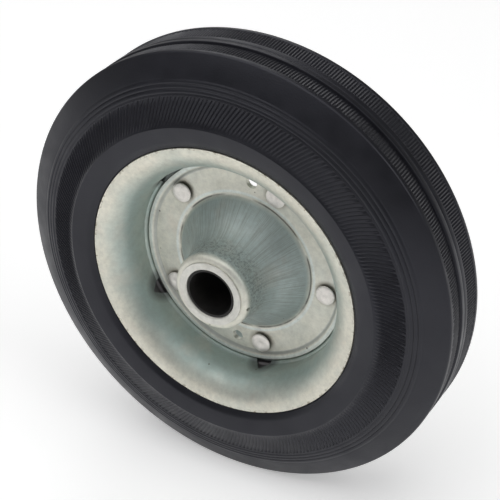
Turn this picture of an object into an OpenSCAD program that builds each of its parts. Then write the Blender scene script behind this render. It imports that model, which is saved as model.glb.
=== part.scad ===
// Gate wheel: a solid rubber tyre on two pressed rim halves, carried by two pressed discs that are
// riveted back to back round a plain hub tube. A thin sleeve in the tube runs on the axle.
// The wheel stands upright. Y is its spin axis, the front face looks towards -Y, and the origin is
// the wheel's centre. Sections are drawn as [radius, height], height being counted from the middle
// plane towards the front.

/* [Tyre] */
// Outside diameter of the tyre
tyre_d = 200; // [185:1:250]
// Width of the tyre over its sidewalls
tyre_w = 50; // [44:1:64]
// Width of the tread between its shoulder edges
tread_w = 26.6; // [22:0.2:32]
// Rounding of the tread's shoulder edges
shoulder_round = 1.2; // [0.4:0.1:1.5]
// Width of the smooth strip along each shoulder
shoulder_w = 1.9; // [1.8:0.1:3]
// Width of the smooth band round the middle of the tread
centre_w = 5.2; // [4:0.2:8]
// How far the two ribbed bands lie below the smooth ones
band_depth = 1.3; // [0.4:0.1:2]
// Width of the slopes at the edges of the ribbed bands
band_slope = 0.3; // [0.2:0.1:1]
// Number of raised rings round each sidewall
ring_count = 3; // [1:1:5]
// Radial distance from one raised ring to the next
ring_pitch = 1.75; // [1.2:0.05:2.5]
// How far the rings stand out of the sidewall
ring_rise = 0.6; // [0.2:0.1:1]

/* [Rim halves] */
// Radial width of the flare between the well and the lip
flare_w = 13.1; // [12:0.1:16]
// How far the lips lie inside the tyre's sidewalls
lip_inset = 2.7; // [1:0.1:4]
// Thickness of the rim's sheet
rim_t = 1.2; // [0.8:0.1:1.5]
// Radius of the flare between the well and the lip
flare_round = 14; // [10:0.5:14]
// Slope of the sheet at the lip
lip_slope = 10; // [4:1:16]
// Width of the five notches at the foot of the well
notch_w = 11; // [6:0.5:14]
// Height of the notches' points over the middle plane
notch_h = 9.2; // [6:0.1:12]

/* [Discs] */
// Outside diameter of the clamping edge
disc_d = 95; // [79:0.5:108]
// Thickness of the discs' sheet
disc_t = 1.2; // [0.8:0.1:1.6]
// Radial width of the clamping edge that lies over the rim's foot
clamp_w = 2.4; // [2:0.1:4]
// Radial width of the flat face between the clamping edge's step and the cone
flat_w = 12.88; // [12:0.02:15]
// Slope of the cone
cone_slope = 46; // [38:1:52]
// Radial width of the nose round the hub tube
nose_w = 4.1; // [3.6:0.1:6]

/* [Hub] */
// Length of the hub tube
hub_l = 60; // [54:0.5:80]
// Wall of the hub tube
tube_wall = 1.9; // [1.2:0.1:2.4]
// Width of the tube's spread ends
spread_w = 1.6; // [0.8:0.1:2]
// Thickness of the tube's spread ends
spread_t = 0.7; // [0.5:0.1:1]

/* [Sleeve] */
// Bore of the sleeve
sleeve_bore = 20.2; // [12.2:0.1:25.2]
// Wall of the sleeve
sleeve_wall = 1; // [0.6:0.1:2]
// How far the sleeve's ends lie inside the tube
sleeve_inset = 0.5; // [0:0.1:2]
// Running clearance between the sleeve and the tube, on the radius
run_gap = 0.1; // [0.02:0.01:0.15]

/* [Rivets] */
// Number of rivets
rivet_count = 5; // [3:1:6]
// Angle of the first rivet, from +X towards +Z
rivet_start = 67; // [50:1:90]
// Diameter of the rivets' heads
rivet_head_d = 9.3; // [7:0.1:11.2]
// Height of the rivets' heads
rivet_head_h = 1.7; // [1:0.1:2.5]
// Diameter of the rivets' shanks
rivet_d = 5; // [4:0.1:6]

// Gap between the rivets' heads and the step of the clamping edge
head_gap = 0.23; // [0.15:0.01:1]

/* [Index holes] */
// Diameter of the two index holes
index_d = 5; // [3:0.1:6]
// Angle from the first rivet to the first index hole
index_turn = 18; // [14:1:22]
// Diameter of the drain hole in the front disc's neck
drain_d = 1.8; // [1:0.1:2.5]
// Angle of the drain hole, from +X towards +Z
drain_angle = -10; // [-30:1:30]
// Distance of the drain hole from the end of the nose
drain_drop = 1.9; // [1.6:0.1:6]

/* [Hidden] */
$fn = 96;

RUBBER = [0.10, 0.10, 0.12];
ZINC = [0.74, 0.76, 0.72];
RIVET_STEEL = [0.80, 0.76, 0.74];
LINER = [0.06, 0.06, 0.07];

// Gap left round a fitted piece that doesn't turn
fit_gap = 0.05;
// Gap between the rim's foot and the underside of the disc's step, and between the disc's edge and
// the rim's well
seat_gap = 0.2;
edge_gap = 0.5;
// How far past a face a cutting shape runs
over = 1;

tyre_r = tyre_d / 2;
side_h = tyre_w / 2;
tread_h = tread_w / 2;
lip_h = side_h - lip_inset;
disc_r = disc_d / 2;
nose_h = hub_l / 2 - spread_t;
sleeve_r = sleeve_bore / 2 + sleeve_wall;
tube_in_r = sleeve_r + run_gap;
tube_r = tube_in_r + tube_wall;
spread_r = tube_r + spread_w;
step_r = disc_r - clamp_w;
step_out = disc_t * 0.6;
step_foot_r = step_r - step_out;
head_r = rivet_head_d / 2;
rivet_circle_r = step_foot_r - head_gap - head_r;

// Points along an arc round a corner b of the path a-b-c. The arc has the radius r on the path
// itself, and the points lie off it by the distance off, to the left of the way along the path.
function bend(a, b, c, r, off, n = 8) =
    let (d1 = (b - a) / norm(b - a), d2 = (c - b) / norm(c - b))
    let (side = sign(cross(d1, d2)), angle = acos(d1 * d2))
    let (left = [-d1.y, d1.x], centre = b - d1 * r * tan(angle / 2) + side * r * left)
    [for (i = [0:n])
        let (u = side * angle * i / n, v = -side * left * (r - side * off))
        centre + [v.x * cos(u) - v.y * sin(u), v.x * sin(u) + v.y * cos(u)]];

// A path with each inner corner rounded by its radius in rounds, moved off to its left
function run(path, rounds, off) =
    let (last = len(path) - 1, d1 = path[1] - path[0], d2 = path[last] - path[last - 1])
    concat(
        [path[0] + off * [-d1.y, d1.x] / norm(d1)],
        [for (i = [1:last - 1]) each bend(path[i - 1], path[i], path[i + 1], rounds[i - 1], off)],
        [path[last] + off * [-d2.y, d2.x] / norm(d2)]);

function reverse(list) = [for (i = [len(list) - 1:-1:0]) list[i]];
function mirrored(path) = [for (p = path) [p.x, -p.y]];

// Section of a pressed sheet whose visible face follows a path
module sheet(path, rounds, t) {
    polygon(concat(run(path, rounds, 0), reverse(run(path, rounds, t))));
}

// Turns what is drawn round the local Z axis so that it lies along the wheel's axis
module on_axis() {
    rotate([90, 0, 0])
        children();
}

// Places a piece on the rivets' circle at an angle
module on_circle(angle) {
    rotate(angle)
        translate([rivet_circle_r, 0, 0])
            children();
}

// The rim's visible face, from the lip down the flare and the well to the middle plane. A small
// step goes round the well above the disc's edge.
well_low_r = disc_r + edge_gap;
well_r = well_low_r + 0.9;
lip_r = well_r + flare_w;
well_step_h = 4.6;
step_fall = 0.6;
step_turn = atan(disc_t / (2 * step_out));
foot_r = step_r + step_out + disc_t * tan(step_turn / 2) + seat_gap;
rim_down = [
    [lip_r, lip_h],
    [well_r, lip_h - (lip_r - well_r) * tan(lip_slope)],
    [well_r, well_step_h],
    [well_low_r, well_step_h - step_fall]];
rim_down_rounds = [flare_round, 0.2, rim_t + 0.15];

module rim_half() {
    notch_point = [notch_h, 0];
    difference() {
        rotate_extrude()
            sheet(
                concat(rim_down, [[well_low_r, rim_t], [foot_r, rim_t]]),
                concat(rim_down_rounds, [0.6]),
                rim_t);
        for (i = [0:rivet_count - 1])
            rotate(rivet_start + i * 360 / rivet_count)
                translate([foot_r + 2 * rim_t, 0, 0])
                    rotate([0, -90, 180])
                        linear_extrude(well_r)
                            polygon([[-over, -notch_w / 2], notch_point, [-over, notch_w / 2]]);
    }
}

module front_rim() {
    color(ZINC)
        on_axis()
            rim_half();
}

module rear_rim() {
    color(ZINC)
        on_axis()
            mirror([0, 0, 1])
                rim_half();
}

// The front disc's visible face, from its clamping edge over the step, the flat face, the cone
// and the neck to the hole for the tube
neck_slope = 86;
neck_r = tube_r + nose_w;
cone_r = step_foot_r - flat_w;
neck_run = (cone_r - neck_r) * tan(cone_slope) + disc_t - nose_h;
waist_r = neck_r - neck_run / (tan(neck_slope) - tan(cone_slope));
disc_face = [
    [disc_r, rim_t + disc_t],
    [step_r + step_out, rim_t + disc_t],
    [step_foot_r, disc_t],
    [cone_r, disc_t],
    [waist_r, nose_h - (waist_r - neck_r) * tan(neck_slope)],
    [neck_r, nose_h],
    [tube_r + fit_gap, nose_h]];
disc_rounds = [disc_t + 0.2, 0.4, 1.2, 7, 2.6];

module disc() {
    difference() {
        rotate_extrude()
            sheet(disc_face, disc_rounds, disc_t);
        for (i = [0:rivet_count - 1])
            on_circle(rivet_start + i * 360 / rivet_count)
                cylinder(h = 6 * disc_t, d = rivet_d + 2 * fit_gap, center = true);
        for (i = [0:1])
            on_circle(rivet_start + index_turn + i * 180)
                cylinder(h = 6 * disc_t, d = index_d, center = true);
    }
}

module front_disc() {
    color(ZINC)
        on_axis()
            difference() {
                disc();
                rotate(drain_angle)
                    translate([neck_r - 2, 0, nose_h - drain_drop])
                        rotate([0, 90, 0])
                            cylinder(h = 2 + over, d = drain_d);
            }
}

module rear_disc() {
    color(ZINC)
        on_axis()
            mirror([0, 0, 1])
                disc();
}

// The sidewall, from the rim's lip outwards: a plain band that stands out furthest, a long slope,
// the raised rings, the smooth shoulder, and the tread with a sunk band on each side of its middle
lip_gap = 0.5;
slope_in_r = lip_r + 10.4;
ring_in_r = tyre_r - 15.8;
ring_out_r = ring_in_r + (ring_count + 1) * ring_pitch;
ring_fall = 0.36;
ring_in_h = side_h - 0.2 - (ring_in_r - slope_in_r) * 0.345;
ring_out_h = ring_in_h - (ring_out_r - ring_in_r) * ring_fall;
ring_steps = 8;
centre_h = centre_w / 2;
band_out_h = tread_h - shoulder_w - band_slope;

function ring_h(r) =
    let (turns = (r - ring_in_r) / ring_pitch - 0.5)
    ring_in_h - (r - ring_in_r) * ring_fall + (turns < 0 || turns > ring_count ? 0 :
        ring_rise * (1 - cos(360 * turns)) / 2);

sidewall = concat(
    [[lip_r + lip_gap, lip_h - 1.2], [lip_r + lip_gap, lip_h - 0.2]],
    bend([lip_r + lip_gap, lip_h], [lip_r + 4.5, side_h], [slope_in_r, side_h], 8, 0),
    [[slope_in_r - 0.4, side_h], [slope_in_r, side_h - 0.25]],
    [for (i = [0:(ring_count + 1) * ring_steps])
        let (r = ring_in_r + i * ring_pitch / ring_steps) [r, ring_h(r)]],
    bend([ring_out_r, ring_out_h], [tyre_r, tread_h], [tyre_r, 0], shoulder_round, 0),
    [
        [tyre_r, band_out_h + band_slope],
        [tyre_r - band_depth, band_out_h],
        [tyre_r - band_depth, centre_h + band_slope],
        [tyre_r, centre_h]]);

module tyre() {
    seat = run(concat(rim_down, [[well_low_r, 0]]), rim_down_rounds, rim_t);
    color(RUBBER)
        on_axis()
            rotate_extrude()
                polygon(concat(sidewall, reverse(mirrored(sidewall)), mirrored(seat), reverse(seat)));
}

module hub_tube() {
    end = hub_l / 2;
    half = [[tube_r, end - spread_t], [spread_r, end - spread_t], [spread_r, end], [tube_in_r, end]];
    color(ZINC)
        on_axis()
            rotate_extrude()
                polygon(concat(half, reverse(mirrored(half))));
}

module sleeve() {
    length = hub_l - 2 * sleeve_inset;
    color(LINER)
        on_axis()
            difference() {
                cylinder(h = length, r = sleeve_r, center = true);
                cylinder(h = length + 2 * over, d = sleeve_bore, center = true);
            }
}

// A rivet closed on both sides, with flat heads whose edges are bevelled
module rivet(number) {
    bevel = 0.4;
    half = [
        [rivet_d / 2, disc_t],
        [head_r, disc_t],
        [head_r, disc_t + rivet_head_h - bevel],
        [head_r - bevel, disc_t + rivet_head_h],
        [0, disc_t + rivet_head_h]];
    color(RIVET_STEEL)
        on_axis()
            on_circle(rivet_start + (number - 1) * 360 / rivet_count)
                rotate_extrude($fn = 48)
                    polygon(concat(half, reverse(mirrored(half))));
}

tyre();
front_rim();
rear_rim();
front_disc();
rear_disc();
hub_tube();
sleeve();
rivet(1);  // rivet_1
rivet(2);  // rivet_2
rivet(3);  // rivet_3
rivet(4);  // rivet_4
rivet(5);  // rivet_5
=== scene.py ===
import math

import bmesh
import bpy
from mathutils import Matrix, Vector, noise


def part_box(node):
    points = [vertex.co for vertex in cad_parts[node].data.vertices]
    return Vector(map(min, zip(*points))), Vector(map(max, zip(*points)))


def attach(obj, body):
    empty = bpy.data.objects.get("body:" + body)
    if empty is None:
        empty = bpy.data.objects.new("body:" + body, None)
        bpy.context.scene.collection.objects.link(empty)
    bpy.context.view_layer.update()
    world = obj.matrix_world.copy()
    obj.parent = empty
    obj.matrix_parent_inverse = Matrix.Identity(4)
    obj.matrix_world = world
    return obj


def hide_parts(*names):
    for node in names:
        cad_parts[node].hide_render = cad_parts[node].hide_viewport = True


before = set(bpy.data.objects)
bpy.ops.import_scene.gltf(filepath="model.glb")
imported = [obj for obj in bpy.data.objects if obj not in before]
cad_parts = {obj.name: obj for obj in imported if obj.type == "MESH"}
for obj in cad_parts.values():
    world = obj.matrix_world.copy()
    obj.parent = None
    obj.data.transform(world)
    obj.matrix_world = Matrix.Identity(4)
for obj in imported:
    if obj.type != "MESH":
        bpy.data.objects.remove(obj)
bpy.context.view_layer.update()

# Studio. The wheel stands upright on a plain pale floor that glows faintly. It is seen from its
# front right and from above, under a broad soft light overhead and weaker ones behind and at right.
studio = bpy.context.scene
studio.view_settings.view_transform = "Standard"
floor_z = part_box("tyre")[0].z
view_azimuth = math.radians(29.8)
view_elevation = math.radians(32.3)
view_from = (0.2681, -0.4646, 0.3443)

lens = bpy.data.cameras.new("studio_camera")
lens.lens = 108
lens.sensor_width = 36
camera = bpy.data.objects.new("studio_camera", lens)
camera.location = view_from
camera.rotation_euler = (math.pi / 2 - view_elevation, 0, view_azimuth)
studio.collection.objects.link(camera)
studio.camera = camera

paper = bpy.data.materials.new("floor_paper")
paper.use_nodes = True
paper_shader = paper.node_tree.nodes["Principled BSDF"]
paper_shader.inputs["Base Color"].default_value = (0.93, 0.93, 0.93, 1)
paper_shader.inputs["Roughness"].default_value = 0.9
paper_shader.inputs["Emission Color"].default_value = (1, 1, 1, 1)
paper_shader.inputs["Emission Strength"].default_value = 0.36
sheet = bmesh.new()
bmesh.ops.create_grid(sheet, x_segments=1, y_segments=1, size=30)
bmesh.ops.translate(sheet, verts=sheet.verts, vec=(0, 0, floor_z))
floor_mesh = bpy.data.meshes.new("floor")
sheet.to_mesh(floor_mesh)
sheet.free()
floor_mesh.materials.append(paper)
floor = bpy.data.objects.new("floor", floor_mesh)
studio.collection.objects.link(floor)

sky = bpy.data.worlds.new("studio_air")
sky.use_nodes = True
sky.node_tree.nodes["Background"].inputs["Color"].default_value = (1, 1, 1, 1)
sky.node_tree.nodes["Background"].inputs["Strength"].default_value = 0.13
studio.world = sky

for name, place, size, watts in (
    ("light_above", (-0.25, -0.3, 1.4), 2.2, 16),
    ("light_behind", (-0.7, 1.1, 0.9), 0.9, 3),
    ("light_right", (1.2, -0.2, 0.9), 0.9, 4.5),
):
    lamp = bpy.data.lights.new(name, "AREA")
    lamp.shape = "DISK"
    lamp.size = size
    lamp.energy = watts
    light = bpy.data.objects.new(name, lamp)
    light.location = place
    light.rotation_euler = Vector(place).to_track_quat("Z", "Y").to_euler()
    studio.collection.objects.link(light)

# Tyre. One solid ring of charcoal rubber, moulded on to the rim. Slanted ribs ring each sidewall,
# straight ones the two sunk bands of the tread, and the rest is smooth with a fine moulded skin.
mm = 0.001
tyre_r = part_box("tyre")[1].x / mm
side_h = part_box("tyre")[1].y / mm
lip_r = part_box("front_rim")[1].x / mm
lip_h = -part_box("front_rim")[0].y / mm
rim_sheet = 1.2
flare_w = 13.1
well_r = lip_r - flare_w
bore_rise = 0.35
inner_band_w = 10.4
rib_in_r = lip_r + inner_band_w
shoulder_w = 15.8
rib_out_r = tyre_r - shoulder_w
rib_row = 2.35
rib_rows = 4
rib_fall = 0.345
ring_pitch = 1.75
ring_count = 3
ring_rise = 0.35
ring_fall = 0.36
ring_steps = 6
tread_h = 13.3
centre_h = 2.6
band_depth = 0.95
band_slope = 0.3
band_start = 0.1
band_out_h = 11.1
band_foot_w = 0.9
band_w = band_out_h - centre_h - band_foot_w
tread_rib_end = 0.3
columns = 376
side_ribs = 282
tread_ribs = 470
side_rib_depth = 0.5
rib_fade = 3
tread_rib_depth = 0.3
rib_slant = math.radians(0.36)
rib_end = 0.5
rib_shape = (0, 0.5, 1, 0.5)


def draw_section(corners, closed=False):
    """Draws a line through (radius, height, rounding) corners. Heights count towards the front."""
    mesh = bmesh.new()
    points = [mesh.verts.new((radius, -height, 0)) for radius, height, _ in corners]
    following = points[1:] + (points[:1] if closed else [])
    for point, after in zip(points, following):
        mesh.edges.new((point, after))
    for point, (_, _, rounding) in zip(points, corners):
        if rounding:
            ways = [edge.other_vert(point).co - point.co for edge in point.link_edges]
            turn = math.pi - ways[0].angle(ways[1])
            bmesh.ops.bevel(
                mesh, geom=[point], offset=rounding * math.tan(turn / 2), offset_type="OFFSET",
                segments=2 + round(3 * turn * math.sqrt(rounding)), profile=0.5,
                affect="VERTICES", material=-1)
    return mesh


def spin_round(mesh, steps):
    """Spins a section once round the wheel's axis."""
    bmesh.ops.spin(
        mesh, geom=mesh.verts[:] + mesh.edges[:], cent=(0, 0, 0), axis=(0, 1, 0),
        angle=2 * math.pi, steps=steps, use_merge=True)
    bmesh.ops.recalc_face_normals(mesh, faces=mesh.faces[:])


def radius_of(point):
    return math.hypot(point.co.x, point.co.z)


def angle_of(point):
    return math.atan2(point.co.z, point.co.x)


def finish_piece(mesh, name, material, body, nodes, sharp=38):
    """Makes a piece of a mesh drawn in millimetres and puts it in its nodes' place."""
    bmesh.ops.scale(mesh, vec=(mm, mm, mm), verts=mesh.verts)
    data = bpy.data.meshes.new(name)
    mesh.to_mesh(data)
    mesh.free()
    data.polygons.foreach_set("use_smooth", [True] * len(data.polygons))
    data.set_sharp_from_angle(angle=math.radians(sharp))
    data.materials.append(material)
    piece = bpy.data.objects.new(name, data)
    studio.collection.objects.link(piece)
    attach(piece, body)
    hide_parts(*nodes)
    return piece


def add_node(tree, kind, inputs=None, **settings):
    """Adds a shader node. Its inputs are values, or the outputs of other nodes."""
    made = tree.nodes.new(kind)
    for name, value in settings.items():
        setattr(made, name, value)
    for name, value in (inputs or {}).items():
        if isinstance(value, bpy.types.NodeSocket):
            tree.links.new(value, made.inputs[name])
        else:
            made.inputs[name].default_value = value
    return made


def grain(tree, place, scale, detail=3, roughness=0.55):
    """A cloudy pattern from 0 to 1, with scale in patches per metre."""
    made = add_node(tree, "ShaderNodeTexNoise", {
        "Vector": place, "Scale": scale, "Detail": detail, "Roughness": roughness})
    return made.outputs["Fac"]


def spread(tree, value, low, high, to_low=0.0, to_high=1.0):
    """Stretches a value's range from low to high over the range from to_low to to_high."""
    made = add_node(tree, "ShaderNodeMapRange", {
        "Value": value, "From Min": low, "From Max": high, "To Min": to_low, "To Max": to_high})
    return made.outputs["Result"]


def tint(tree, amount, first, second):
    """Mixes two colours, which may be outputs of other nodes."""
    made = add_node(
        tree, "ShaderNodeMix", {0: amount, 6: first, 7: second}, data_type="RGBA")
    return made.outputs[2]


def specks(tree, place, scale, size, share):
    """Scattered round specks. Size is in metres, and share is the part of the cells with one."""
    cells = add_node(tree, "ShaderNodeTexVoronoi", {"Vector": place, "Scale": scale})
    near = spread(tree, cells.outputs["Distance"], size * scale, size * scale * 0.6)
    chosen = add_node(tree, "ShaderNodeSeparateColor", {"Color": cells.outputs["Color"]})
    kept = spread(tree, chosen.outputs[0], 1 - share, 1 - share + 0.01)
    both = add_node(tree, "ShaderNodeMath", {0: near, 1: kept}, operation="MULTIPLY")
    return both.outputs[0]


def out_from_axle(tree, place):
    """The distance out from the wheel's axis, in metres."""
    flat = add_node(tree, "ShaderNodeVectorMath", {0: place, 1: (1, 0, 1)}, operation="MULTIPLY")
    return add_node(
        tree, "ShaderNodeVectorMath", {0: flat.outputs[0]}, operation="LENGTH").outputs["Value"]


primer_edge = 0.001


def moulded_rubber():
    """Near-black rubber with a dusty skin, and a bare primed edge where it meets the rim."""
    material = bpy.data.materials.new("moulded_rubber")
    material.use_nodes = True
    tree = material.node_tree
    shader = tree.nodes["Principled BSDF"]
    place = add_node(tree, "ShaderNodeTexCoord").outputs["Object"]
    bloom = spread(tree, grain(tree, place, 22), 0.35, 0.7)
    skin = tint(tree, bloom, (0.005, 0.005, 0.007, 1), (0.009, 0.009, 0.013, 1))
    dust = specks(tree, place, 70, 0.0004, 0.1)
    skin = tint(tree, dust, skin, (0.5, 0.5, 0.5, 1))
    primed = spread(
        tree, out_from_axle(tree, place), lip_r * mm - primer_edge, lip_r * mm - 2 * primer_edge)
    tree.links.new(tint(tree, primed, skin, (0.14, 0.13, 0.135, 1)), shader.inputs["Base Color"])
    tree.links.new(spread(tree, primed, 0, 1, 0, 0.8), shader.inputs["Metallic"])
    shader.inputs["Specular IOR Level"].default_value = 0.48
    shader.inputs["Specular Tint"].default_value = (0.88, 0.89, 1, 1)
    tree.links.new(
        spread(tree, grain(tree, place, 90), 0.3, 0.7, 0.36, 0.5), shader.inputs["Roughness"])
    bump = add_node(tree, "ShaderNodeBump", {
        "Height": grain(tree, place, 1500, 2), "Strength": 0.25, "Distance": 0.0002})
    tree.links.new(bump.outputs["Normal"], shader.inputs["Normal"])
    return material


def tyre_section():
    """The tyre's whole outline, from the bore over the front sidewall to the rear one."""
    bore = [
        (well_r + bore_rise, 0, 0),
        (well_r + bore_rise, 2.5, 0.4),
        (well_r + rim_sheet, 3.3, 0.4),
        (well_r + rim_sheet, lip_h - 3.5, 12.8),
        (lip_r, lip_h - rim_sheet, 0)]
    band = [
        (lip_r + 0.5, lip_h - 1.2, 0),
        (lip_r + 0.5, lip_h - 0.1, 0.3),
        (lip_r + 3, lip_h + 1.4, 4),
        (rib_in_r - 0.4, side_h, 0.2),
        (rib_in_r, side_h - 0.25, 0)]
    slope_in_h = side_h - 0.3
    slope_out_h = side_h - 0.2 - (rib_out_r - rib_in_r) * rib_fall
    rows = [rib_in_r + rib_row * i for i in range(1, rib_rows + 1)]
    ribbed = [rib_in_r + rib_end, *rows, rib_out_r - rib_end]
    slope = [
        (r, slope_in_h + (slope_out_h - slope_in_h) * (r - rib_in_r) / (rib_out_r - rib_in_r), 0)
        for r in ribbed]
    rings = []
    for step in range(ring_steps * (ring_count + 1) + 1):
        turns = step / ring_steps - 0.5
        rise = 0 if turns < 0 or turns > ring_count else abs(math.sin(math.pi * turns)) ** 0.5
        away = step / ring_steps * ring_pitch
        rings.append((rib_out_r + away, slope_out_h - ring_fall * away + ring_rise * rise, 0))
    tread = [
        (tyre_r, tread_h, 1.2),
        (tyre_r, band_out_h + tread_rib_end, 0.15),
        *((tyre_r - band_start - band_depth * sink, band_out_h - band_w * step, 0) for step, sink in (
            (0, 0), (0.25, 0.08), (0.5, 0.2), (0.75, 0.36), (0.95, 0.55), (1, 1))),
        (tyre_r - band_start - band_depth, centre_h + band_slope, 0),
        (tyre_r, centre_h, 0.3),
        (tyre_r - 0.03, 0.35, 0),
        (tyre_r - 0.2, 0, 0)]
    front = bore + band + slope + rings + tread
    rear = [(r, -h, rounding) for r, h, rounding in front[-2:0:-1]]
    return front + rear


def rib_edges(mesh, rows):
    """The edges round the wheel that lie in the rows that a test picks."""
    return [
        edge for edge in mesh.edges
        if rows(edge.verts[0]) and rows(edge.verts[1])
        and abs(radius_of(edge.verts[0]) - radius_of(edge.verts[1])) < 0.02
        and abs(edge.verts[0].co.y - edge.verts[1].co.y) < 0.02]


def on_side_ribs(point):
    return rib_in_r + rib_end / 2 < radius_of(point) < rib_out_r - rib_end / 2


def on_tread_ribs(point):
    low, high = band_out_h - 0.97 * band_w, band_out_h + tread_rib_end / 2
    return low < abs(point.co.y) < high and radius_of(point) > tyre_r - 2 * band_depth


def rib_drop(point, count):
    """How deep a point lies between two ribs, from 0 on a rib to 1."""
    return rib_shape[round(angle_of(point) / (2 * math.pi) * count * 4) % 4]


tyre = draw_section(tyre_section(), closed=True)
spin_round(tyre, columns)
for rows, ribs in ((on_side_ribs, side_ribs), (on_tread_ribs, tread_ribs)):
    bmesh.ops.subdivide_edges(
        tyre, edges=rib_edges(tyre, rows), cuts=ribs * 4 // columns - 1, use_grid_fill=True,
        use_single_edge=True)
for point in tyre.verts:
    radius = radius_of(point)
    if on_side_ribs(point):
        depth = side_rib_depth * min(1, 0.3 + (radius - rib_in_r) / rib_fade)
        point.co.y -= math.copysign(depth * rib_drop(point, side_ribs), point.co.y)
    elif on_tread_ribs(point):
        shrink = 1 - tread_rib_depth * rib_drop(point, tread_ribs) / radius
        point.co.x *= shrink
        point.co.z *= shrink
    lean = rib_slant * (min(max(radius, rib_in_r), rib_out_r) - rib_in_r)
    point.co = Matrix.Rotation(lean, 3, "Y") @ point.co
finish_piece(tyre, "rubber_tyre", moulded_rubber(), "wheel", ["tyre"])

# Rim halves. Two equal rings pressed from zinc-plated sheet: a lip, a wide flare and a straight
# well, with a foot that the discs clamp. Five notches just above it clear the rivets' tooling.
well_step_h = 3.5
clamp_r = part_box("front_disc")[1].x / mm
rim_columns = 240
rivet_count = 5
rivet_start = math.radians(67)
notch_w = 9.6
notch_h = 8.6
notch_round = 1.2
notch_foot = 1.3
notch_back = 3
notch_reach = 8
cream_r = 58.5
teal_r = 50.5
rust_out = 0.2
rust_w = 1.2
# How far the painted shade reaches round each notch.
notch_shade_w = 8.5
notch_shade_h = 11.5
notch_shade_out_r = 54
notch_shade_in_r = 50


def plate(mesh, thickness):
    """Gives a spun face the sheet's thickness on its far side. The face looks to the front."""
    if sum(face.normal.y * face.calc_area() for face in mesh.faces) > 0:
        bmesh.ops.reverse_faces(mesh, faces=mesh.faces[:])
    bmesh.ops.solidify(mesh, geom=mesh.faces[:], thickness=thickness)
    bmesh.ops.recalc_face_normals(mesh, faces=mesh.faces[:])


def cut_out(blank, cutter):
    """Takes the cutter's shape out of the blank."""
    solids = []
    for mesh in (blank, cutter):
        data = bpy.data.meshes.new("blank")
        mesh.to_mesh(data)
        solids.append(bpy.data.objects.new("blank", data))
        studio.collection.objects.link(solids[-1])
    knife = solids[0].modifiers.new("cut", "BOOLEAN")
    knife.object = solids[1]
    knife.solver = "EXACT"
    bpy.context.view_layer.update()
    blank.clear()
    blank.from_object(solids[0], bpy.context.evaluated_depsgraph_get())
    cutter.free()
    for solid in solids:
        data = solid.data
        bpy.data.objects.remove(solid)
        bpy.data.meshes.remove(data)


def turn_to(angle):
    """The turn round the wheel's axis that brings +X to an angle towards +Z."""
    return Matrix.Rotation(-angle, 4, "Y")


def figure(tree, operation, *values):
    """One step of arithmetic on values, which may be outputs of other nodes."""
    made = add_node(tree, "ShaderNodeMath", dict(enumerate(values)), operation=operation)
    return made.outputs[0]


def angle_round(tree, place):
    """The angle round the wheel's axis, from +X towards +Z."""
    axes = add_node(tree, "ShaderNodeSeparateXYZ", {"Vector": place})
    return figure(tree, "ARCTAN2", axes.outputs["Z"], axes.outputs["X"])


def height_off_middle(tree, place):
    """The distance from the wheel's middle plane, towards either side, in metres."""
    axes = add_node(tree, "ShaderNodeSeparateXYZ", {"Vector": place})
    return figure(tree, "ABSOLUTE", axes.outputs["Y"])


def span(tree, across, along):
    """The straight distance that two distances at right angles make."""
    return figure(
        tree, "SQRT", figure(
            tree, "ADD", figure(tree, "POWER", across, 2.0), figure(tree, "POWER", along, 2.0)))


def from_rivet(tree, place):
    """The angle from the nearest rivet."""
    half_step = math.pi / rivet_count
    past_first = figure(tree, "SUBTRACT", angle_round(tree, place), rivet_start)
    return figure(tree, "WRAP", past_first, half_step, -half_step)


def plated_steel(name, shade, sheen, bumps=None):
    """Zinc plating with fine spangle and darker specks, over a shade that a function mixes."""
    material = bpy.data.materials.new(name)
    material.use_nodes = True
    tree = material.node_tree
    shader = tree.nodes["Principled BSDF"]
    place = add_node(tree, "ShaderNodeTexCoord").outputs["Object"]
    plating = shade(tree, place)
    stains = specks(tree, place, 190, 0.0005, 0.12)
    plating = tint(tree, stains, plating, (0.16, 0.15, 0.12, 1))
    mottle = spread(tree, grain(tree, place, 420, 3, 0.7), 0.35, 0.75, 0, 0.32)
    plating = tint(tree, mottle, plating, (0.33, 0.34, 0.31, 1))
    height = grain(tree, place, 900, 2)
    if bumps:
        height = figure(tree, "ADD", height, bumps(tree, place))
    tree.links.new(plating, shader.inputs["Base Color"])
    shader.inputs["Metallic"].default_value = 0.72
    tree.links.new(
        spread(tree, grain(tree, place, 120, 4), 0.3, 0.7, sheen - 0.06, sheen + 0.1),
        shader.inputs["Roughness"])
    bump = add_node(tree, "ShaderNodeBump", {
        "Height": height, "Strength": 0.22, "Distance": 0.0002})
    tree.links.new(bump.outputs["Normal"], shader.inputs["Normal"])
    return material


def clouded(tree, place, light, deep, amount):
    """Mixes two tints of plating in clouds, with warmer patches. Amount leans it to the deep one."""
    clouds = spread(tree, grain(tree, place, 34, 3), 0.34, 0.68, -0.2, 0.32)
    lean = add_node(tree, "ShaderNodeMath", {0: clouds, 1: amount}, operation="ADD", use_clamp=True)
    plating = tint(tree, lean.outputs[0], (*light, 1), (*deep, 1))
    blush = spread(tree, grain(tree, place, 75, 3), 0.54, 0.72, 0, 0.3)
    return tint(tree, blush, plating, (0.70, 0.61, 0.52, 1))


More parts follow.
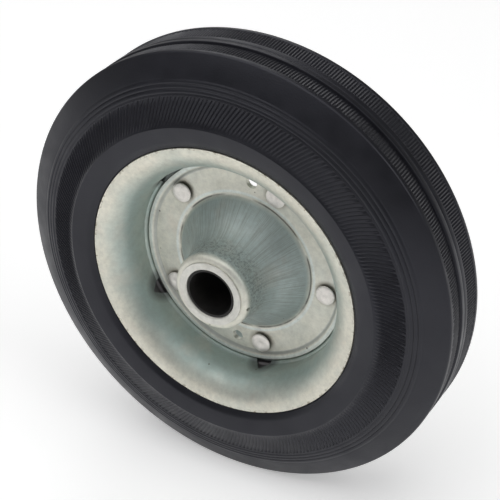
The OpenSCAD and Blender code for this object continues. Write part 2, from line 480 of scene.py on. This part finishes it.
def rim_shade(tree, place):
    """Cream at the lip and rust at the edge. The teal deep in the flare is painted shade and
    reflection, and the dark round the notches is painted shade.
    """
    out = out_from_axle(tree, place)
    # The flare darkens from cream to teal towards the well: painted shade and reflection deep in the
    # flare, over the plating's own cream tint.
    deep = spread(tree, out, cream_r * mm, teal_r * mm)
    plating = clouded(tree, place, (0.80, 0.78, 0.68), (0.45, 0.54, 0.51), deep)
    edge = figure(
        tree, "MULTIPLY", spread(tree, out, (lip_r - rust_w) * mm, (lip_r - rust_out) * mm),
        spread(tree, grain(tree, place, 500, 4, 0.7), 0.52, 0.64, 0, 0.8))
    plating = tint(tree, edge, plating, (0.20, 0.16, 0.10, 1))
    # Painted shade: near-black round each notch, strongest close to the notch and towards the well.
    along = figure(tree, "MULTIPLY", from_rivet(tree, place), well_r / notch_shade_w)
    deep_in = figure(tree, "DIVIDE", height_off_middle(tree, place), notch_shade_h * mm)
    painted_shade = figure(
        tree, "MULTIPLY", spread(tree, span(tree, along, deep_in), 1.05, 0.7, 0, 0.65),
        spread(tree, out, notch_shade_out_r * mm, notch_shade_in_r * mm))
    return tint(tree, painted_shade, plating, (0.06, 0.06, 0.065, 1))


rim_zinc = plated_steel("rim_zinc", rim_shade, 0.5)
for name, node, front in (("front_rim_half", "front_rim", 1), ("rear_rim_half", "rear_rim", -1)):
    rim = draw_section([
        (lip_r, lip_h, 0),
        (well_r, lip_h - 2.3, 14),
        (well_r, well_step_h, 0.2),
        (clamp_r + 0.5, well_step_h - 0.6, 1.3),
        (clamp_r + 0.5, rim_sheet, 0.6),
        (clamp_r - 1.05, rim_sheet, 0)])
    spin_round(rim, rim_columns)
    plate(rim, rim_sheet)
    for i in range(rivet_count):
        notch = bmesh.new()
        corners = [
            notch.verts.new((clamp_r - notch_back, y, z))
            for y, z in ((-notch_foot, -notch_w / 2), (-notch_h, 0), (-notch_foot, notch_w / 2))]
        notch.faces.new(corners)
        bmesh.ops.bevel(
            notch, geom=notch.verts[:], offset=notch_round, segments=3, profile=0.5,
            affect="VERTICES", material=-1)
        made = bmesh.ops.extrude_face_region(notch, geom=notch.faces[:])["geom"]
        bmesh.ops.translate(
            notch, verts=[v for v in made if isinstance(v, bmesh.types.BMVert)],
            vec=(notch_reach, 0, 0))
        bmesh.ops.recalc_face_normals(notch, faces=notch.faces[:])
        bmesh.ops.rotate(
            notch, verts=notch.verts, matrix=turn_to(rivet_start + i * 2 * math.pi / rivet_count))
        cut_out(rim, notch)
    if front < 0:
        bmesh.ops.scale(rim, vec=(1, -1, 1), verts=rim.verts)
        bmesh.ops.reverse_faces(rim, faces=rim.faces[:])
    finish_piece(rim, name, rim_zinc, "wheel", [node])

# Discs. Two like dished plates, pressed from the same sheet and set back to back. Each clamps the
# rim's foot with its edge, and its cone rises to a nose that holds the hub tube. The front one alone
# has a small drain hole.
disc_sheet = 1.2
nose_h = -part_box("front_disc")[0].y / mm
tube_out_r = 13.1
nose_w = 4.1
neck_r = tube_out_r + nose_w
clamp_w = 3.12
step_foot_r = clamp_r - clamp_w
flat_w = 12.88
cone_r = step_foot_r - flat_w
waist_r = neck_r + 1.0
cone_rise = 1.0355
disc_columns = 288
rivet_low, rivet_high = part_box("rivet_1")
rivet_at = (rivet_low + rivet_high) / 2 / mm
rivet_circle_r = math.hypot(rivet_at.x, rivet_at.z)
rivet_head_r = (rivet_high.x - rivet_low.x) / 2 / mm
index_r = 2.5
index_angle = rivet_start + math.radians(18)
drain_r = 0.9
drain_angle = math.radians(-10)
drain_drop = 1.9
halo_w = 2.2
pits_start_h = 14
pits_full_h = 19


def drill(radius, length, columns=40):
    """A round cutter that stands along the wheel's axis."""
    mesh = bmesh.new()
    bmesh.ops.create_cone(
        mesh, cap_ends=True, segments=columns, radius1=radius, radius2=radius, depth=length,
        matrix=Matrix.Rotation(math.pi / 2, 4, "X"))
    return mesh


def press_marks(point):
    """How far the press left a point of the disc's flat face off its plane."""
    radius, angle = radius_of(point), angle_of(point)
    if radius < cone_r - 1 or radius > step_foot_r:
        return 0
    swell = noise.noise(Vector((math.cos(angle), math.sin(angle), radius / 9)) * 2.4)
    bead = math.exp(-((radius - cone_r - 2) / 1.1) ** 2)
    crease = math.exp(-((radius - cone_r - 0.4) / 0.35) ** 2)
    worn = max(0, noise.noise(Vector((math.cos(angle), math.sin(angle), 7)) * 2.2) + 0.25)
    return 0.06 * swell + 0.25 * bead - 0.15 * crease * min(1, 3 * worn)


def on_cone(tree, place):
    """1 on the cone, and 0 on the flat face round it and on the nose."""
    out = out_from_axle(tree, place)
    inside = spread(tree, out, cone_r * mm + 0.0004, cone_r * mm - 0.0014)
    height = height_off_middle(tree, place)
    return figure(
        tree, "MULTIPLY", inside, spread(tree, height, (nose_h - 1) * mm, (nose_h - 4) * mm))


def scores(tree, place):
    """Fine radial scratches."""
    strip = add_node(tree, "ShaderNodeCombineXYZ", {
        "X": angle_round(tree, place), "Y": out_from_axle(tree, place)})
    stretched = add_node(tree, "ShaderNodeMapping", {
        "Vector": strip.outputs[0], "Scale": (26, 30, 1)})
    return figure(
        tree, "MULTIPLY", grain(tree, stretched.outputs[0], 2.2, 4, 0.7), on_cone(tree, place))


def ring_band(tree, out, radius, half_width):
    """Picks out a soft-edged ring of the disc. Sizes are in millimetres."""
    off = figure(tree, "ABSOLUTE", figure(tree, "SUBTRACT", out, radius * mm))
    return spread(tree, off, half_width * mm, half_width * mm * 0.4, 0, 0.55)


def disc_shade(tree, place):
    """Warm grey on the flat face, teal on the scored cone partly as painted shade, brown stains
    round the rivets, painted highlights on the bead and clamp band, and painted shade in the
    step's groove and along the crease.
    """
    out = out_from_axle(tree, place)
    cone = on_cone(tree, place)
    # The cone's teal is partly the plating's own tint and partly painted shade on its rising face.
    plating = clouded(tree, place, (0.80, 0.79, 0.70), (0.50, 0.58, 0.57), cone)
    plating = tint(
        tree, spread(tree, scores(tree, place), 0.47, 0.66, 0, 0.65), plating,
        (0.26, 0.27, 0.25, 1))
    offset = figure(tree, "MULTIPLY", from_rivet(tree, place), rivet_circle_r * mm)
    across = figure(tree, "SUBTRACT", out, rivet_circle_r * mm)
    halo = figure(
        tree, "MULTIPLY",
        spread(
            tree, span(tree, offset, across), (rivet_head_r + halo_w) * mm,
            (rivet_head_r - 0.3) * mm),
        spread(tree, grain(tree, place, 150), 0.3, 0.6, 0.2, 0.75))
    plating = tint(tree, halo, plating, (0.27, 0.23, 0.17, 1))
    # Painted shade: a near-black line, in patches, along the crease at the cone's foot.
    line = figure(tree, "ABSOLUTE", figure(tree, "SUBTRACT", out, cone_r * mm + 0.0004))
    crease = figure(
        tree, "MULTIPLY", spread(tree, line, 0.0005, 0.0002),
        spread(tree, grain(tree, place, 45), 0.42, 0.52, 0, 0.9))
    # Painted highlight: a pale blue-green ring along the bead near the cone's foot.
    plating = tint(tree, ring_band(tree, out, cone_r + 1.9, 0.9), plating, (0.80, 0.88, 0.88, 1))
    # Painted highlight: a pale blue-green ring on the clamp band at the disc's edge.
    plating = tint(tree, ring_band(tree, out, clamp_r - 0.8, 1.1), plating, (0.80, 0.88, 0.87, 1))
    # Painted shade: a dark grey ring in the groove at the foot of the clamp step.
    plating = tint(
        tree, ring_band(tree, out, step_foot_r + 0.3, 0.9), plating, (0.34, 0.37, 0.37, 1))
    # The crease's painted shade goes on last.
    plating = tint(tree, crease, plating, (0.10, 0.10, 0.09, 1))
    neck = figure(
        tree, "MULTIPLY", cone,
        spread(tree, height_off_middle(tree, place), pits_start_h * mm, pits_full_h * mm))
    pitted = figure(
        tree, "MULTIPLY", neck, spread(tree, grain(tree, place, 900, 3, 0.7), 0.46, 0.62, 0, 0.55))
    return tint(tree, pitted, plating, (0.16, 0.17, 0.16, 1))


disc_zinc = plated_steel("disc_zinc", disc_shade, 0.54, scores)
for name, node, front in (("front_disc_plate", "front_disc", 1), ("rear_disc_plate", "rear_disc", -1)):
    disc = draw_section([
        (clamp_r, 2 * disc_sheet, 0),
        (step_foot_r + 1.44, 2 * disc_sheet, 1.4),
        (step_foot_r, disc_sheet, 0.4),
        (step_foot_r - 1, disc_sheet, 0),
        *((cone_r + off, disc_sheet, 0) for off in (8, 4, 3, 2, 1.4, 0.9)),
        (cone_r, disc_sheet, 1.2),
        (waist_r, disc_sheet + (cone_r - waist_r) * cone_rise, 18),
        (neck_r, nose_h, 2.6),
        (tube_out_r + 0.1, nose_h, 0)])
    spin_round(disc, disc_columns)
    for point in disc.verts:
        point.co.y -= press_marks(point)
    plate(disc, disc_sheet)
    for half in (0, math.pi):
        hole = drill(index_r, 12)
        bmesh.ops.translate(hole, verts=hole.verts, vec=(rivet_circle_r, 0, 0))
        bmesh.ops.rotate(hole, verts=hole.verts, matrix=turn_to(index_angle + half))
        cut_out(disc, hole)
    if front > 0:
        drain = drill(drain_r, 6, 20)
        bmesh.ops.rotate(drain, verts=drain.verts, matrix=Matrix.Rotation(math.pi / 2, 4, "Z"))
        bmesh.ops.translate(drain, verts=drain.verts, vec=(neck_r + 1, -nose_h + drain_drop, 0))
        bmesh.ops.rotate(drain, verts=drain.verts, matrix=turn_to(drain_angle))
        cut_out(disc, drain)
    else:
        bmesh.ops.scale(disc, vec=(1, -1, 1), verts=disc.verts)
        bmesh.ops.reverse_faces(disc, faces=disc.faces[:])
    finish_piece(disc, name, disc_zinc, "wheel", [node])

# Hub tube. A plain steel tube through both discs, plated after its ends were spread over the
# noses, which left their outer edges a little ragged.
hub_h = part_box("hub_tube")[1].y / mm
spread_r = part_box("hub_tube")[1].x / mm
spread_t = 0.7
tube_in_r = 11.2


def ragged_edge(point):
    """How far the spread end's edge falls short of its circle."""
    around = Vector((math.cos(angle_of(point)), math.sin(angle_of(point)), point.co.y / 9)) * 5
    return 0.22 * abs(noise.noise(around)) + 0.1 * abs(noise.noise(around * 4))


def both_sides(half):
    """Repeats the front half of an outline at the rear."""
    return half + [(radius, -height, rounding) for radius, height, rounding in reversed(half)]


half_tube = [
    (tube_in_r, hub_h - 0.9, 0),
    (tube_in_r, hub_h, 0.8),
    (spread_r, hub_h, 0.3),
    (spread_r, hub_h - spread_t, 0.2),
    (tube_out_r, hub_h - spread_t, 0)]
tube = draw_section(both_sides(half_tube), closed=True)
spin_round(tube, 240)
for point in tube.verts:
    radius = radius_of(point)
    if radius > tube_out_r + 0.6:
        shrink = 1 - ragged_edge(point) / radius
        point.co.x *= shrink
        point.co.z *= shrink


def hub_shade(tree, place):
    return clouded(tree, place, (0.76, 0.75, 0.70), (0.60, 0.60, 0.56), 0.3)


hub_zinc = plated_steel("hub_zinc", hub_shade, 0.5)
finish_piece(tube, "hub_tube_spread", hub_zinc, "wheel", ["hub_tube"])

# Sleeve. A thin liner of black nylon that stays still on the axle while the tube turns round it.
# Its ends lie just inside the tube's and have a small chamfer.
sleeve_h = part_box("sleeve")[1].y / mm
sleeve_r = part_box("sleeve")[1].x / mm
bore_r = 10.1
chamfer = 0.25


def black_nylon():
    material = bpy.data.materials.new("black_nylon")
    material.use_nodes = True
    tree = material.node_tree
    shader = tree.nodes["Principled BSDF"]
    place = add_node(tree, "ShaderNodeTexCoord").outputs["Object"]
    shade = spread(tree, grain(tree, place, 160), 0.3, 0.7)
    tree.links.new(
        tint(tree, shade, (0.006, 0.006, 0.006, 1), (0.016, 0.014, 0.012, 1)),
        shader.inputs["Base Color"])
    tree.links.new(
        spread(tree, grain(tree, place, 300), 0.3, 0.7, 0.5, 0.7), shader.inputs["Roughness"])
    bump = add_node(tree, "ShaderNodeBump", {
        "Height": grain(tree, place, 1200), "Strength": 0.2, "Distance": 0.0001})
    tree.links.new(bump.outputs["Normal"], shader.inputs["Normal"])
    return material


half_sleeve = [
    (bore_r, sleeve_h - chamfer, 0),
    (bore_r + chamfer, sleeve_h, 0),
    (sleeve_r - chamfer, sleeve_h, 0),
    (sleeve_r, sleeve_h - chamfer, 0)]
sleeve = draw_section(both_sides(half_sleeve), closed=True)
spin_round(sleeve, 160)
finish_piece(sleeve, "nylon_sleeve", black_nylon(), "sleeve", ["sleeve"])

# Rivets. Five steel rivets closed on both sides, with flat heads that the tool has pressed a
# little out of true and marked with a small dimple. They are plated with the rest.
head_h = (rivet_high.y - rivet_low.y) / 2 / mm
shank_r = 2.5
head_lean = 0.7


def rivet_shade(tree, place):
    """Warm grey, with painted shade in the corner under the head."""
    clouds = spread(tree, grain(tree, place, 260, 4), 0.35, 0.65)
    steel = tint(tree, clouds, (0.98, 0.94, 0.89, 1), (0.86, 0.82, 0.78, 1))
    # Painted shade: a dark band round the head's underside, next to the plate.
    painted_shade = spread(
        tree, height_off_middle(tree, place), (head_h - 0.35) * mm, (head_h - 0.9) * mm)
    return tint(tree, painted_shade, steel, (0.10, 0.09, 0.075, 1))


rivet_metal = plated_steel("rivet_steel", rivet_shade, 0.46)
half_rivet = [
    (0, head_h - 0.16, 0),
    (0.55, head_h - 0.14, 0),
    (0.95, head_h - 0.02, 0),
    (2.4, head_h, 0),
    (rivet_head_r - 0.5, head_h - 0.03, 0),
    (rivet_head_r, head_h - 0.35, 0.3),
    (rivet_head_r - head_lean, disc_sheet, 0),
    (shank_r, disc_sheet, 0)]
for i in range(rivet_count):
    rivet = draw_section(both_sides(half_rivet))
    spin_round(rivet, 56)
    bmesh.ops.remove_doubles(rivet, verts=rivet.verts, dist=0.001)
    for point in rivet.verts:
        if abs(point.co.y) > disc_sheet + 0.2 and radius_of(point) > 1:
            bulge = noise.noise(Vector((point.co.x, point.co.z, 9 * i + point.co.y)) * 0.55)
            point.co *= 1 - 0.025 * abs(bulge)
    bmesh.ops.translate(rivet, verts=rivet.verts, vec=(rivet_circle_r, 0, 0))
    bmesh.ops.rotate(
        rivet, verts=rivet.verts, matrix=turn_to(rivet_start + i * 2 * math.pi / rivet_count))
    finish_piece(
        rivet, f"closed_rivet_{i + 1}", rivet_metal, "wheel", [f"rivet_{i + 1}"])
